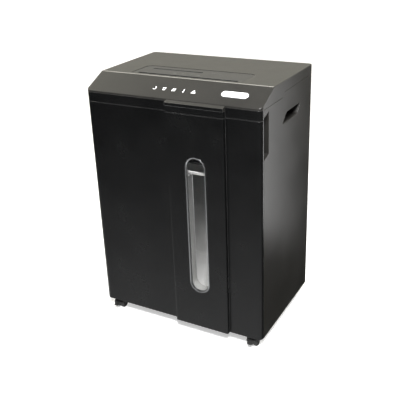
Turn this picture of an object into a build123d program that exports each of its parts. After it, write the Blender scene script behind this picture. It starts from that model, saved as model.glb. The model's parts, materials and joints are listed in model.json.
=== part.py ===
"""Paper shredder with a pull-out bin, on four swivel casters.

Frame: +X to the right of someone facing the machine, +Y to the back, +Z up.
Origin: on the floor, under the centre of the machine's outer box. Millimetres.
"""
from build123d import *
from math import acos, atan2, cos, pi, radians, sin, tan
import os

# ---------------------------------------------------------------- cabinet
body_width = 392.0
body_depth = 266.0  # front panels' face to the back
body_height = 525.0  # cabinet's underside to the lid
ground_gap = 26.0  # floor to the cabinet's underside
wall = 2.5  # moulded shells
seam = 0.8  # visible gap between shells
slip = 0.3  # gap between parts that slide past each other
front_return = 11.0  # how far the front panels wrap round the sides
front_corner = 10.0
rear_return = 14.0
rear_corner = 8.0
tongue = 6.0  # overlap of one shell inside the next

# ---------------------------------------------------------------- centre strip and window
strip_proud = 9.0
strip_left = -3.0
strip_right = 123.0
strip_edge = 2.5
window_width = 46.0
window_sill = 87.0  # cabinet's underside to the window
window_head = 84.8  # window to the bin front's upper edge
bezel_rim = 3.0
bezel_proud = 0.8
lens_thickness = 2.0

# ---------------------------------------------------------------- lid and control panel
panel_run = 59.0
panel_drop = 27.4
lip_height = 3.6
nose_height = 6.0
skirt_height = 19.2
lid_band = 21.5
band_step = 104.0  # where the lid's side band gets deeper, behind the front
step_run = 8.0
lid_edge = 1.6
icon_pitch = 22.0
icon_count = 5
icon_radius = 4.6
icon_rise = 28.0  # along the slope
key_length = 59.0
key_width = 19.0
key_x = 130.0
key_rise = 31.5
key_rim = 1.6
key_proud = 1.4
key_travel = 1.5
key_play = 0.3
key_plate = 3.0

# ---------------------------------------------------------------- feed openings
feed_width = 255.0
feed_front = 68.0  # behind the front panels' face
feed_rear = 137.0
feed_corner = 15.0
feed_sink = 0.6
feed_plate = 3.0
feed_flange = 4.0
paper_slot_length = 228.0
paper_slot_gap = 7.0
paper_slot_place = 74.5
card_slot_length = 118.0
card_slot_gap = 5.0
card_slot_x = -44.0
card_slot_place = 116.0

# ---------------------------------------------------------------- side openings
grip_low_drop = 85.0  # below the lid's top
grip_high_drop = 65.0
grip_low_span = (100.0, 180.0)
grip_high_span = (122.0, 195.0)
grip_corner = 9.0  # front upper and rear lower corners of the leaning window
grip_tip = 1.5  # its two sharper corners
grip_depth = 24.0
grip_wall = 1.6
notch_run = 21.6
notch_low_drop = 130.3  # below the lid's top
notch_high_drop = 47.5
notch_rise = 8.0
notch_depth = 16.0

# ---------------------------------------------------------------- bin
tub_side_gap = 13.5  # side panel's inner face to the tub
tub_front_gap = 13.0
tub_back_gap = 12.0
tub_wall = 2.0
tub_rim = 5.0
tub_head_gap = 19.0  # tub's rim to the head chassis
tub_corner = 9.0
tunnel_wall = 1.5  # light duct between the window and the tub
bin_floor = 20.5
base_upstand = 30.0
rail_x = 118.0
rail_width = 14.0

# ---------------------------------------------------------------- casters
caster_inset = 26.0  # swivel axis to the cabinet's corner, each way
caster_trail = 8.0
wheel_radius = 11.0
wheel_width = 7.5
fork_plate = 6.0
wheel_gap = 0.5
hood_gap = 1.0
hood_wall = 1.5
axle_radius = 2.5
boss_radius = 7.0
stem_radius = 4.0
stem_length = 14.0
socket_wall = 3.0
running = 0.05  # radial clearance of a shaft in its bore
pedal_length = 8.0
pedal_width = 10.0
pedal_thickness = 2.2
pedal_height = 15.0
pedal_pin = 1.2

# ---------------------------------------------------------------- cutting head
nip_place = 94.0  # cutters' nip, behind the front panels' face
nip_depth = 81.0  # below the lid's top
gear_module = 2.0
sync_teeth = 18
disc_overlap = 3.2
disc_pitch = 8.0
disc_thickness = 3.9
disc_count = 28
disc_notches = 6
hex_flats = 14.0
journal_radius = 6.0
bush_wall = 3.0
frame_plate = 3.5
frame_span = 243.0  # between the frame plates
frame_half = 46.0
finger_thickness = 3.1
tie_radius = 4.0
chassis_plate = 3.0
frame_rise = 32.0  # frame plates above the nip
funnel_drop = 8.0

# ---------------------------------------------------------------- drive
drive_teeth = 40
pinion_teeth = 12
motor_module = 1.5
wheel_teeth = 48
motor_teeth = 12
gear_width = 11.0
pressure_angle = 25.0
backlash = 0.25
stub_radius = 5.0
stub_length = 29.0
stub_angle = -19.55  # from the rear shaft to the intermediate gear
motor_angle = -36.87  # from the intermediate gear to the motor
motor_radius = 29.0
motor_length = 100.0
motor_clear = 1.6  # motor to the chassis under it
motor_shaft_radius = 4.0
fan_radius = 24.0
fan_width = 9.0
fan_blades = 7

# ---------------------------------------------------------------- back
inlet_width = 48.0
inlet_height = 23.0
inlet_x = -120.0
inlet_rise = 30.0  # above the head chassis
rocker_width = 15.0
rocker_height = 21.0
rocker_x = -60.0
rocker_play = 1.2
vent_count = 12
vent_pitch = 9.0
vent_length = 60.0
vent_gap = 4.0
vent_x = 60.0
vent_drop = 120.0  # below the lid's top
screw_radius = 3.5
screw_shank = 1.6

# ---------------------------------------------------------------- throat, sensors, board
guide_plate = 1.6
sensor_width = 4.0
sensor_pin = 1.5
plunger_x = -90.0
plunger_radius = 2.5
board_width = 42.0
board_length = 130.0
board_lift = 6.0

# ---------------------------------------------------------------- levels that follow
half_w = body_width / 2
front_y = -(body_depth - strip_proud - bezel_proud) / 2
rear_y = (body_depth + strip_proud + bezel_proud) / 2
strip_y = front_y - strip_proud
floor_z = ground_gap
top_z = floor_z + body_height
slope_z = top_z - panel_drop
lip_z = slope_z - lip_height
band_z = top_z - lid_band
front_top_z = lip_z - skirt_height
nose_z = slope_z - strip_proud * panel_drop / panel_run - nose_height
slope = atan2(panel_drop, panel_run)
side_y = front_y + front_return + seam
inner_x = half_w - wall
back_y = rear_y - wall  # the back panel's outer face
gear_reach = gear_module * sync_teeth
disc_radius = gear_reach / 2 + disc_overlap / 2
nip_y = front_y + nip_place
nip_z = top_z - nip_depth
shaft_y = {"front": nip_y - gear_reach / 2, "rear": nip_y + gear_reach / 2}
stub_reach = gear_module * (drive_teeth + pinion_teeth) / 2
motor_reach = motor_module * (wheel_teeth + motor_teeth) / 2
gear_fall = -stub_reach * sin(radians(stub_angle)) - motor_reach * sin(radians(motor_angle))
chassis_z = nip_z - gear_fall - motor_radius - motor_clear
tub_top_z = chassis_z - tub_head_gap
inlet_z = chassis_z + inlet_rise
frame_x = frame_span / 2
socket_outer = stem_radius + socket_wall
socket_top = floor_z + stem_length + 3


# ---------------------------------------------------------------- shapes used all over
def block(x0, x1, y0, y1, z0, z1):
    """Rectangular block between two corners."""
    return Pos((x0 + x1) / 2, (y0 + y1) / 2, (z0 + z1) / 2) * Box(x1 - x0, y1 - y0, z1 - z0)


def x_rod(radius, x0, x1, y, z):
    """Round bar along X."""
    return Pos((x0 + x1) / 2, y, z) * Rot(0, 90, 0) * Cylinder(radius, x1 - x0)


def y_rod(radius, x, y0, y1, z):
    """Round bar along Y."""
    return Pos(x, (y0 + y1) / 2, z) * Rot(90, 0, 0) * Cylinder(radius, y1 - y0)


def z_rod(radius, x, y, z0, z1):
    """Round bar along Z."""
    return Pos(x, y, (z0 + z1) / 2) * Cylinder(radius, z1 - z0)


def side_cut(points, x0, x1, corner=0.0):
    """Solid with an outline in Y and Z, between two planes across X."""
    face = make_face(Polyline(*[(x0, y, z) for y, z in points], close=True))
    solid = extrude(face, amount=x1 - x0, dir=(1, 0, 0))
    if corner:
        solid = fillet(solid.edges().filter_by(Axis.X), corner)
    return solid


def pill(length, width, plane, depth):
    """Round-ended bar, its length along the plane's X, pushed along its normal."""
    return extrude(plane * SlotOverall(length, width), amount=depth)


def on_slope(x, rise, lift=0.0):
    """Plane on the control panel: X to the right, Y up the slope."""
    y = front_y + rise * cos(slope) - lift * sin(slope)
    z = slope_z + rise * sin(slope) + lift * cos(slope)
    return Plane((x, y, z), x_dir=(1, 0, 0), z_dir=(0, -sin(slope), cos(slope)))


def upright(x, y, z):
    """Plane that faces the front, its X pointing up."""
    return Plane((x, y, z), x_dir=(0, 0, 1), z_dir=(0, -1, 0))


def across(x, y, z):
    """Plane that faces +X, its X pointing back and its Y up."""
    return Plane((x, y, z), x_dir=(0, 1, 0), z_dir=(1, 0, 0))


# ---------------------------------------------------------------- front panels
def front_plan(inset, depth):
    """Plan of the front panels: wrapped corners and the proud centre strip."""
    wide = body_width - 2 * inset
    body = Pos(0, front_y + (inset + depth) / 2) * Rectangle(wide, depth - inset)
    corners = body.vertices().sort_by(Axis.Y)[:2]
    body = fillet(corners, front_corner - inset)
    strip_w = strip_right - strip_left - 2 * inset
    strip_mid = (strip_left + strip_right) / 2
    strip = Pos(strip_mid, strip_y + inset + strip_proud / 2) * Rectangle(strip_w, strip_proud)
    edges = strip.vertices().sort_by(Axis.Y)[:2]
    return body + fillet(edges, max(strip_edge - inset, 0.4))


def front_shell(z0, z1, closed):
    """Hollow front moulding, open at the back; closed ends stiffen it."""
    outer = extrude(Pos(0, 0, z0) * front_plan(0, front_return), amount=z1 - z0)
    low, high = (z0 + wall, z1 - wall) if closed else (z0 - 1, z1 + 1)
    hollow = extrude(Pos(0, 0, low) * front_plan(wall, front_return + 1), amount=high - low)
    return outer - hollow


def bin_front():
    """Front of the pull-out bin, with the hole for the window."""
    shell = front_shell(floor_z + seam, front_top_z - seam, True)
    return shell - window_pill(0, strip_y - 1, wall + 2)


def window_pill(inset, y, depth):
    """Upright pill in the middle of the centre strip, from y towards the back."""
    low = floor_z + window_sill
    high = front_top_z - window_head
    middle = upright((strip_left + strip_right) / 2, y + depth, (low + high) / 2)
    return pill(high - low - 2 * inset, window_width - 2 * inset, middle, depth)


def window_bezel():
    """Bright frame in the window hole, with a lip over the strip's face."""
    depth = bezel_proud + wall + lens_thickness
    ring = window_pill(0, strip_y - bezel_proud, depth)
    ring -= window_pill(bezel_rim, strip_y - bezel_proud - 1, depth + 2)
    front_edges = ring.faces().sort_by(Axis.Y)[0].edges()
    return chamfer(front_edges, bezel_proud * 0.75)


def window_lens():
    """Clear plate held inside the bezel."""
    return window_pill(bezel_rim, strip_y + wall, lens_thickness)


def head_skirt():
    """Dark band between the bin front and the lid's lip."""
    band = front_shell(front_top_z, lip_z, False)
    under_nose = block(strip_left, strip_right, strip_y - 1, front_y + wall, nose_z, top_z)
    return band - under_nose


# ---------------------------------------------------------------- lid
def lid_outline(inset):
    """The lid seen from the side, shrunk by a wall thickness."""
    slope_shift = inset * (1 - cos(slope)) / sin(slope)
    nose_shift = inset / cos(slope)
    front = front_y + inset
    below = 1.0 if inset else 0.0
    return [
        (front, lip_z - below),
        (front, slope_z - nose_shift + inset * tan(slope)),
        (front_y + panel_run + slope_shift, top_z - inset),
        (rear_y - inset, top_z - inset),
        (rear_y - inset, band_z - below),
        (front_y + band_step + step_run, band_z - below),
        (front_y + band_step, lip_z - below),
    ]


def lid_block(inset):
    """Upright block with the lid's plan: rounded front and rear corners."""
    middle = (front_y + rear_y) / 2
    plan = Pos(0, middle) * Rectangle(body_width - 2 * inset, rear_y - front_y - 2 * inset)
    corners = plan.vertices().sort_by(Axis.Y)
    plan = fillet(corners[:2], front_corner - inset)
    plan = fillet(plan.vertices().sort_by(Axis.Y)[-2:], rear_corner - inset)
    return extrude(Pos(0, 0, front_top_z) * plan, amount=body_height)


def top_cover():
    """Lid moulding with the sloping panel, the nose and every opening in it."""
    outer = side_cut(lid_outline(0), -half_w, half_w) & lid_block(0)
    panel = min(outer.faces(), key=lambda face: abs(face.normal_at().Z - cos(slope)))
    top = outer.faces().sort_by(Axis.Z)[-1]
    outer = fillet(ShapeList(set([*top.edges(), *panel.edges()])), lid_edge)
    outer -= side_cut(lid_outline(wall), -inner_x, inner_x) & lid_block(wall)
    tip = slope_z - strip_proud * tan(slope)
    nose = [(front_y + wall, slope_z), (strip_y, tip), (strip_y, nose_z), (front_y + wall, nose_z)]
    lid = outer + side_cut(nose, strip_left, strip_right)
    lid -= feed_hole(0, wall + 2)
    for number in range(icon_count):
        centre = on_slope((number - (icon_count - 1) / 2) * icon_pitch, icon_rise, 1)
        lid -= extrude(centre * Circle(icon_radius), amount=-wall - 2)
    return lid - pill(key_length, key_width, on_slope(key_x, key_rise, 1), -wall - 2)


def feed_hole(inset, depth, raise_by=1.0):
    """Block that fills the feed opening, rounded at its rear corners."""
    width = feed_width - 2 * inset
    length = feed_rear - feed_front - 2 * inset
    middle = front_y + (feed_front + feed_rear) / 2
    plan = Pos(0, middle, top_z + raise_by - depth) * Rectangle(width, length)
    rounded = fillet(plan.vertices().sort_by(Axis.Y)[2:], feed_corner - inset)
    return extrude(rounded, amount=depth)


def feed_panel():
    """Insert with the paper slot and the card slot, flanged under the lid."""
    plate = feed_hole(slip, feed_plate, -feed_sink)
    flange_top = top_z - wall
    flange = feed_hole(-feed_flange, feed_plate, -wall)
    rim = plate + flange
    rim = fillet(plate_edges(rim), 0.5)
    return rim - feed_slots(top_z + 1, flange_top - feed_plate - 1)


def plate_edges(solid):
    """Upper edges of a flat moulding."""
    return solid.faces().sort_by(Axis.Z)[-1].edges()


def feed_slots(z_high, z_low):
    """The two slots as blocks, between two levels."""
    paper_y = front_y + paper_slot_place
    paper = block(
        -paper_slot_length / 2, paper_slot_length / 2,
        paper_y - paper_slot_gap / 2, paper_y + paper_slot_gap / 2, z_low, z_high,
    )
    card_y = front_y + card_slot_place
    card = block(
        card_slot_x - card_slot_length / 2, card_slot_x + card_slot_length / 2,
        card_y - card_slot_gap / 2, card_y + card_slot_gap / 2, z_low, z_high,
    )
    return paper + card


def indicator_lens(number):
    """Round light window, flush with the control panel."""
    x = (number - (icon_count - 1) / 2) * icon_pitch
    head = extrude(on_slope(x, icon_rise) * Circle(icon_radius), amount=-wall)
    return head + extrude(on_slope(x, icon_rise, -wall) * Circle(icon_radius + 1.2), amount=-1)


def key_bezel():
    """Guide ring of the power key, with a rim over the panel."""
    face = on_slope(key_x, key_rise)
    ring = pill(key_length, key_width, face, -key_plate - key_travel - 2)
    under = on_slope(key_x, key_rise, -wall)
    ring += pill(key_length + 4, key_width + 4, under, -1.5)
    mouth = on_slope(key_x, key_rise, 1)
    return ring - pill(key_length - 2 * key_rim, key_width - 2 * key_rim, mouth, -12)


def power_key():
    """Pill-shaped key that slides in its bezel."""
    inset = 2 * (key_rim + key_play)
    top = on_slope(key_x, key_rise, key_proud)
    key = pill(key_length - inset, key_width - inset, top, -key_plate - key_proud)
    upper = key.faces().sort_by(on_slope_axis())[-1]
    return fillet(upper.edges(), 0.9)


def on_slope_axis():
    """Direction out of the control panel."""
    return Axis((0, 0, 0), (0, -sin(slope), cos(slope)))


# ---------------------------------------------------------------- cabinet shells
def side_top(raise_by):
    """Upper outline of a side panel, parallel to the lid's lower edge."""
    return [
        (rear_y, band_z + raise_by),
        (front_y + band_step + step_run, band_z + raise_by),
        (front_y + band_step, lip_z + raise_by),
        (side_y, lip_z + raise_by),
    ]


def side_panel(side):
    """Cabinet side with a rounded rear return, a grip window and a finger pocket."""
    far = half_w - rear_return
    inner = FilletPolyline((inner_x, side_y), (inner_x, back_y), (far, back_y),
                           radius=rear_corner - wall)
    outer = FilletPolyline((half_w, side_y), (half_w, rear_y), (far, rear_y), radius=rear_corner)
    ends = [Line(inner @ 0, outer @ 0), Line(inner @ 1, outer @ 1)]
    section = make_face([*inner.edges(), *outer.edges(), *ends])
    shell = extrude(Pos(0, 0, floor_z) * section, amount=body_height)
    outline = [(side_y, floor_z), (rear_y, floor_z), *side_top(-seam)]
    shell &= side_cut(outline, far - 1, half_w + 1)
    shell += lid_tongue()
    shell -= grip_prism(0, inner_x - 1, half_w + 1)
    shell += finger_pocket()
    shell -= side_cut(notch_outline(0), half_w - notch_depth + wall, half_w + 1)
    return shell if side > 0 else mirror(shell, Plane.YZ)


def lid_tongue():
    """Strip along a side panel's upper edge that fits inside the lid."""
    step = front_y + band_step
    upper = [(y, z + tongue) for y, z in side_top(0)]
    upper[0] = (rear_y - rear_corner, band_z + tongue)
    lower = [(y, z - 2 * seam) for y, z in reversed(side_top(0))]
    lower[-1] = (rear_y - rear_corner, band_z - 2 * seam)
    upper[-1] = (side_y, lip_z + tongue - 4)
    upper[-2] = (step - 1, lip_z + tongue - 4)
    return side_cut([*upper, *lower], inner_x - wall, inner_x)


def grip_outline():
    """Leaning window for the hand grip."""
    low = top_z - grip_low_drop
    high = top_z - grip_high_drop
    return [
        (front_y + grip_low_span[0], low), (front_y + grip_low_span[1], low),
        (front_y + grip_high_span[1], high), (front_y + grip_high_span[0], high),
    ]


def grip_prism(grown, x0, x1):
    """Block with the grip window's outline, grown by a step, sharp at two corners."""
    outline = grow(grip_outline(), grown) if grown else grip_outline()
    face = make_face(Polyline(*[(x0, y, z) for y, z in outline], close=True))
    solid = extrude(face, amount=x1 - x0, dir=(1, 0, 0))
    edges = solid.edges().filter_by(Axis.X).sort_by(Axis.Y)
    solid = fillet([edges[1], edges[2]], grip_corner)
    edges = solid.edges().filter_by(Axis.X).sort_by(Axis.Y)
    return fillet([edges[0], edges[-1]], grip_tip)


def grow(points, step):
    """Outline moved out from its middle by about a step on every side."""
    y_mid = sum(y for y, z in points) / len(points)
    z_mid = sum(z for y, z in points) / len(points)
    half_y = max(abs(y - y_mid) for y, z in points)
    half_z = max(abs(z - z_mid) for y, z in points)
    wide = 1 + 1.5 * step / half_y
    tall = 1 + step / half_z
    return [(y_mid + (y - y_mid) * wide, z_mid + (z - z_mid) * tall) for y, z in points]


def grip_cup(side):
    """Recess moulding behind a grip window."""
    back_x = inner_x - grip_depth
    cup = grip_prism(grip_wall, back_x, inner_x)
    cup += grip_prism(grip_wall + 4, inner_x - grip_wall, inner_x)
    cup -= grip_prism(0, back_x + grip_wall, inner_x + 1)
    return cup if side > 0 else mirror(cup, Plane.YZ)


def notch_outline(grown):
    """Finger notch in a side panel's front edge, open to the front."""
    back = side_y + notch_run + grown
    low = top_z - notch_low_drop - grown
    high = top_z - notch_high_drop + grown
    return [
        (side_y - 1 + grown, low), (back, low + notch_rise),
        (back, high + notch_rise), (side_y - 1 + grown, high),
    ]


def finger_pocket():
    """Closed pocket behind the finger notch."""
    shell = side_cut(notch_outline(wall), half_w - notch_depth, inner_x)
    return shell & block(0, half_w, side_y, rear_y, floor_z, top_z)


def rear_panel():
    """Back of the cabinet: vent slots, and cut-outs for the inlet and the switch."""
    reach = inner_x - rear_corner + wall - slip
    panel = block(-reach, reach, back_y - wall, back_y, floor_z, band_z + tongue)
    panel -= rear_fitting(inlet_x, inlet_width - 2 * wall, inlet_height - wall)
    panel -= rear_fitting(rocker_x, rocker_width, rocker_height)
    middle = top_z - vent_drop
    for column in (-1, 1):
        for row in range(vent_count):
            z = middle + (row - (vent_count - 1) / 2) * vent_pitch
            x = vent_x + column * (vent_length / 2 + 6)
            panel -= Pos(x, back_y, z) * Box(vent_length, 4 * wall, vent_gap)
    return panel


def rear_fitting(x, width, height):
    """Cut-out through the back panel, centred at the fittings' level."""
    z = inlet_z
    return block(x - width / 2, x + width / 2, back_y - 2 * wall, back_y + 1,
                 z - height / 2, z + height / 2)


def inner_block(y0, y1, z0, z1):
    """Block that fits between the side panels, rounded at its rear corners."""
    solid = block(-inner_x, inner_x, y0, y1, z0, z1)
    rear = solid.edges().filter_by(Axis.Z).group_by(Axis.Y)[-1]
    return fillet(rear, rear_corner - wall)


def base_tray():
    """Cabinet floor with upstands against the shells and holes for the sockets."""
    front = side_y + seam
    back = back_y - wall
    floor = inner_block(front, back, floor_z, floor_z + wall)
    walls = inner_block(front, back, floor_z, floor_z + base_upstand)
    walls -= block(-inner_x + wall, inner_x - wall, front - 1, back - wall, floor_z, top_z)
    for x, y, _ in caster_places():
        floor -= z_rod(socket_outer, x, y, floor_z - 1, floor_z + wall + 1)
    return floor + walls


def head_chassis():
    """Shelf that carries the cutting head, with a funnel for the shreds."""
    low, high = chassis_z - chassis_plate, chassis_z
    shelf = inner_block(front_y + front_return + 5, back_y - wall, low, high)
    wide, deep = frame_x - frame_plate, frame_half - 8
    shelf += block(-wide, wide, nip_y - deep, nip_y + deep, low - funnel_drop, high)
    wide, deep = wide - wall, deep - wall
    return shelf - block(-wide, wide, nip_y - deep, nip_y + deep, low - funnel_drop - 1, high + 1)


# ---------------------------------------------------------------- bin
def bin_tub():
    """Open waste tub on the back of the bin front, with a rim and two mounting posts."""
    reach = inner_x - tub_side_gap
    front, back = front_y + tub_front_gap, back_y - wall - tub_back_gap
    low, high = floor_z + bin_floor, tub_top_z
    tub = round_box(-reach, reach, front, back, low, high, tub_corner)
    rim = round_box(-reach - 2, reach + 2, front - 2, back + 2, high - tub_rim, high, tub_corner + 2)
    tub += rim
    tub -= round_box(-reach + tub_wall, reach - tub_wall, front + tub_wall, back - tub_wall,
                     low + tub_wall, high + 1, tub_corner - tub_wall)
    for side in (-1, 1):
        x = side * (reach - tub_corner - 8)
        tub += block(x - 5, x + 5, front_y + wall, front + 0.5, low + 20, high - 20)
    start = strip_y + wall + lens_thickness
    tunnel = window_pill(bezel_rim - tunnel_wall, start, front + 0.5 - start)
    opening = window_pill(bezel_rim, start - 1, front + tub_wall + 2 - start)
    above = block(-half_w, half_w, strip_y, front + 5, high - tub_rim, top_z)
    return tub + (tunnel - above) - (opening - above)


def round_box(x0, x1, y0, y1, z0, z1, corner):
    """Block with rounded upright edges."""
    plan = RectangleRounded(x1 - x0, y1 - y0, corner)
    return extrude(Pos((x0 + x1) / 2, (y0 + y1) / 2, z0) * plan, amount=z1 - z0)


def bin_rail(side):
    """Bearer that the tub slides along, with a low guide on its outer edge."""
    front, back = side_y + 8, back_y - 2 * wall
    low, high = floor_z + wall, floor_z + bin_floor - slip
    rail = block(rail_x - rail_width, rail_x, front, back, low, high)
    rail -= block(rail_x - rail_width + 3, rail_x - 3, front - 1, back + 1, low - 1, high - 3)
    return rail if side > 0 else mirror(rail, Plane.YZ)


# ---------------------------------------------------------------- back fittings
def power_inlet():
    """Cord inlet with three flat pins, flush in the back panel."""
    z = inlet_z
    x = inlet_x
    flange = block(x - inlet_width / 2, x + inlet_width / 2, back_y, back_y + 2,
                   z - inlet_height / 2, z + inlet_height / 2)
    wide, tall = inlet_width - 2 * wall, inlet_height - wall
    body = block(x - wide / 2, x + wide / 2, back_y - 24, back_y, z - tall / 2, z + tall / 2)
    inlet = flange + body
    wide, tall = wide - 2 * 8.5, tall - 4
    inlet -= block(x - wide / 2, x + wide / 2, back_y - 16, back_y + 3, z - tall / 2, z + tall / 2)
    for shift, rise in ((-7, -2.5), (7, -2.5), (0, 2.5)):
        inlet += block(x + shift - 1, x + shift + 1, back_y - 16.5, back_y - 2,
                       z + rise - 2, z + rise + 2)
    return inlet


def rocker_housing():
    """Frame of the rear switch."""
    z = inlet_z
    wide, tall = rocker_width, rocker_height
    frame = block(rocker_x - wide / 2 - 2, rocker_x + wide / 2 + 2, back_y, back_y + 1.5,
                  z - tall / 2 - 2, z + tall / 2 + 2)
    frame += block(rocker_x - wide / 2, rocker_x + wide / 2, back_y - 14, back_y,
                   z - tall / 2, z + tall / 2)
    return frame - block(rocker_x - wide / 2 + 1.5, rocker_x + wide / 2 - 1.5, back_y - 11,
                         back_y + 2, z - tall / 2 + 1.5, z + tall / 2 - 1.5)


def rocker_pivot():
    """Axis of the rocker, across the switch."""
    return (rocker_x, back_y - 5.0, inlet_z)


def rocker_switch():
    """Rocker key, hollowed in the middle, on a pin in its housing."""
    x, y, z = rocker_pivot()
    half = rocker_height / 2 - 1.5 - rocker_play
    face = y + 5.5
    points = [(y - 3, z - half + 1.5), (face, z - half), (y + 4.6, z), (face, z + half),
              (y - 3, z + half - 1.5)]
    wide = rocker_width / 2 - 1.5 - slip
    return side_cut(points, x - wide, x + wide)


# ---------------------------------------------------------------- casters
def caster_places():
    """Swivel axis of each caster, and whether it has a brake."""
    x = half_w - caster_inset
    near, far = front_y + caster_inset, rear_y - caster_inset
    return [(-x, near, True), (x, near, True), (-x, far, False), (x, far, False)]


def caster_sockets():
    """Four bushes in the cabinet floor for the caster stems."""
    sockets = []
    for x, y, _ in caster_places():
        bush = z_rod(socket_outer, x, y, floor_z, socket_top)
        bush += z_rod(socket_outer + 2, x, y, floor_z + wall, floor_z + wall + 2)
        sockets.append(bush - z_rod(stem_radius + running, x, y, floor_z - 1, socket_top - 2))
    return Compound(children=sockets)


def caster_fork(x, y, braked):
    """Hood, middle plate and stem of one caster, trailing towards the front."""
    axle_y, axle_z = y - caster_trail, wheel_radius
    half = fork_plate / 2
    hood_in = wheel_radius + hood_gap
    reach = half + wheel_gap + wheel_width
    hood = x_rod(hood_in + hood_wall, x - reach, x + reach, axle_y, axle_z)
    hood -= x_rod(hood_in, x - reach - 1, x + reach + 1, axle_y, axle_z)
    hood &= block(x - reach, x + reach, axle_y - 40, axle_y + 40, axle_z + 2, axle_z + 40)
    plate = x_rod(hood_in + hood_wall, x - half, x + half, axle_y, axle_z)
    plate &= block(x - half, x + half, axle_y - 40, axle_y + 40, axle_z - 4.5, axle_z + 40)
    crown = floor_z - seam
    boss = z_rod(boss_radius, x, y, axle_z + hood_in - 0.4, crown)
    neck = z_rod(half, x, y, axle_z + 3, crown)
    stem = z_rod(stem_radius, x, y, crown - 1, floor_z + stem_length)
    fork = hood + plate + boss + neck + stem
    if braked:
        fork += pedal_ears(x, y)
    return fork - x_rod(axle_radius + running, x - reach - 1, x + reach + 1, axle_y, axle_z)


def caster_wheels(x, y):
    """Two small wheels pressed on one axle."""
    axle_y, axle_z = y - caster_trail, wheel_radius
    near = fork_plate / 2 + wheel_gap
    axle = x_rod(axle_radius, x - near - wheel_width, x + near + wheel_width, axle_y, axle_z)
    pieces = [axle]
    for side in (-1, 1):
        ends = sorted((x + side * near, x + side * (near + wheel_width)))
        wheel = x_rod(wheel_radius, *ends, axle_y, axle_z)
        wheel = fillet(wheel.edges().filter_by(GeomType.CIRCLE), 1.0)
        outer = x + side * (near + wheel_width)
        wheel -= x_rod(wheel_radius - 3, outer - 1, outer + 1, axle_y, axle_z)
        pieces.append(wheel - x_rod(axle_radius, x - 20, x + 20, axle_y, axle_z))
    return Compound(children=pieces)


def pedal_ears(x, y):
    """Two lugs on the hood that hold a brake pedal's pin."""
    _, pin_y, pin_z = pedal_axis(x, y)
    ears = []
    for side in (-1, 1):
        near = x + side * (pedal_width / 2 + slip)
        ends = sorted((near, near + side * 2))
        lug = block(*ends, pin_y - 2.2, y - caster_trail - wheel_radius - hood_gap, pin_z - 2.2, pin_z + 2.2)
        ears.append(lug - x_rod(pedal_pin + running, ends[0] - 1, ends[1] + 1, pin_y, pin_z))
    return ears[0] + ears[1]


def pedal_axis(x, y):
    """Pivot of a brake pedal, at the front of its hood."""
    return (x, y - caster_trail - wheel_radius - hood_gap - hood_wall - pedal_pin - 1.0, pedal_height)


def brake_pedal(x, y):
    """Toe lever of one front caster."""
    _, pin_y, pin_z = pedal_axis(x, y)
    half = pedal_width / 2
    points = [(pin_y, pin_z + 1.2), (pin_y - pedal_length, pin_z + 0.4),
              (pin_y - pedal_length, pin_z + 0.4 - pedal_thickness), (pin_y, pin_z - 1.2)]
    pin = half + slip + 2
    return side_cut(points, x - half, x + half) + x_rod(pedal_pin, x - pin, x + pin, pin_y, pin_z)


# ---------------------------------------------------------------- cutting head
def frame_reach(side):
    """Front and back ends of a frame plate; the right one also carries the motor."""
    back = nip_y + frame_half
    if side > 0:
        back = motor_axis()[0] + motor_radius
    return nip_y - frame_half, back


def frame_plate_solid(side):
    """Upright plate of the cutter frame, bored for the shafts."""
    front, back = frame_reach(side)
    x0, x1 = sorted((side * frame_x, side * (frame_x + frame_plate)))
    plate = block(x0, x1, front, back, chassis_z, nip_z + frame_rise)
    for y in shaft_y.values():
        plate -= x_rod(journal_radius + bush_wall, x0 - 1, x1 + 1, y, nip_z)
    if side > 0:
        y, z = stub_axis()
        plate += x_rod(stub_radius, x1, x1 + stub_length, y, z)
        y, z = motor_axis()
        plate -= x_rod(motor_shaft_radius + 1, x0 - 1, x1 + 1, y, z)
    return plate


def cutter_shaft(name):
    """Hexagonal shaft with a round journal at each end."""
    y = shaft_y[name]
    reach = disc_count * disc_pitch / 2 + 1
    hexagon = RegularPolygon(hex_flats / 2, 6, major_radius=False)
    bar = extrude(across(-reach, y, nip_z) * hexagon, amount=2 * reach)
    left = -frame_x - frame_plate - gear_width - 3
    right = frame_x + frame_plate + (2 * gear_width + 5 if name == "rear" else 2)
    return bar + x_rod(journal_radius, left, right, y, nip_z)


def cutter_discs(name):
    """Stack of notched cutting discs on one shaft, staggered against the other's."""
    y = shaft_y[name]
    count = disc_count if name == "front" else disc_count - 1
    sketch = Circle(disc_radius)
    for number in range(disc_notches):
        notch = Pos(disc_radius, 0) * Rot(0, 0, 25) * Rectangle(3.4, 2.2)
        sketch -= Rot(0, 0, number * 360 / disc_notches) * notch
    sketch -= RegularPolygon(hex_flats / 2, 6, major_radius=False)
    discs = []
    for number in range(count):
        x = (number - (count - 1) / 2) * disc_pitch - disc_thickness / 2
        turned = Rot(0, 0, (number % disc_notches) * 60)
        discs.append(extrude(across(x, y, nip_z) * turned * sketch, amount=disc_thickness))
    return Compound(children=discs)


def stripper_comb(name):
    """Bar with a finger in every gap between one shaft's discs."""
    out = -1 if name == "front" else 1
    y = shaft_y[name]
    tip = y + out * (hex_flats / 2 / cos(pi / 6) + 0.6)
    inner, outer = y + out * (disc_radius + 1.5), y + out * (disc_radius + 6)
    comb = block(-frame_x, frame_x, *sorted((inner, outer)), nip_z - 5, nip_z + 5)
    count = disc_count if name == "front" else disc_count - 1
    for number in range(count - 1):
        x = (number - (count - 2) / 2) * disc_pitch
        ends = sorted((tip, inner + out))
        comb += block(x - finger_thickness / 2, x + finger_thickness / 2, *ends, nip_z - 3, nip_z + 3)
    return comb


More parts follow.
